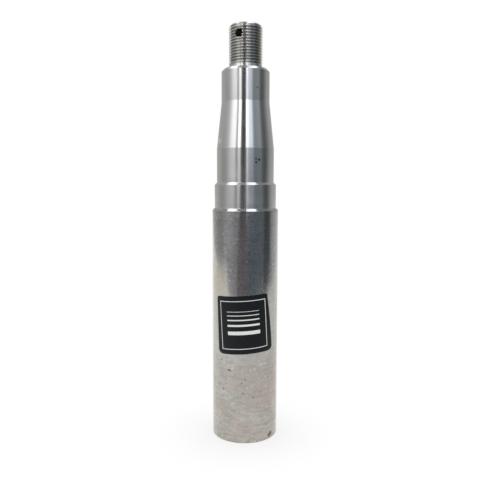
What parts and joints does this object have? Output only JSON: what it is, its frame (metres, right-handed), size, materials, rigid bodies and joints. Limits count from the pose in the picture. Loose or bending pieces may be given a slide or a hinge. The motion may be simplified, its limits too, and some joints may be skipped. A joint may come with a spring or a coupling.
{
  "type": "implement hub spindle",
  "caption": "Round steel spindle for an implement wheel hub, turned down in steps for a seal, two bearings and a nut, with a film label on its shank.",
  "frame": {"origin": "centre of the plain weld end face of the shank", "axes": "+Z along the spindle's axis from the weld end to the threaded end; the cross hole runs along Y, and the label faces 25.5 degrees from -Y towards +X"},
  "size_m": [0.0444, 0.0446, 0.2756],
  "materials": {
    "turned_steel": "bright turned steel, finely ground on the journals and duller with small nicks on the shank",
    "label_film": "satin black film with a plain white printed rule pattern"
  },
  "bodies": {
    "root": {"spindle": "turned_steel", "label": "label_film"}
  },
  "joints": []
}
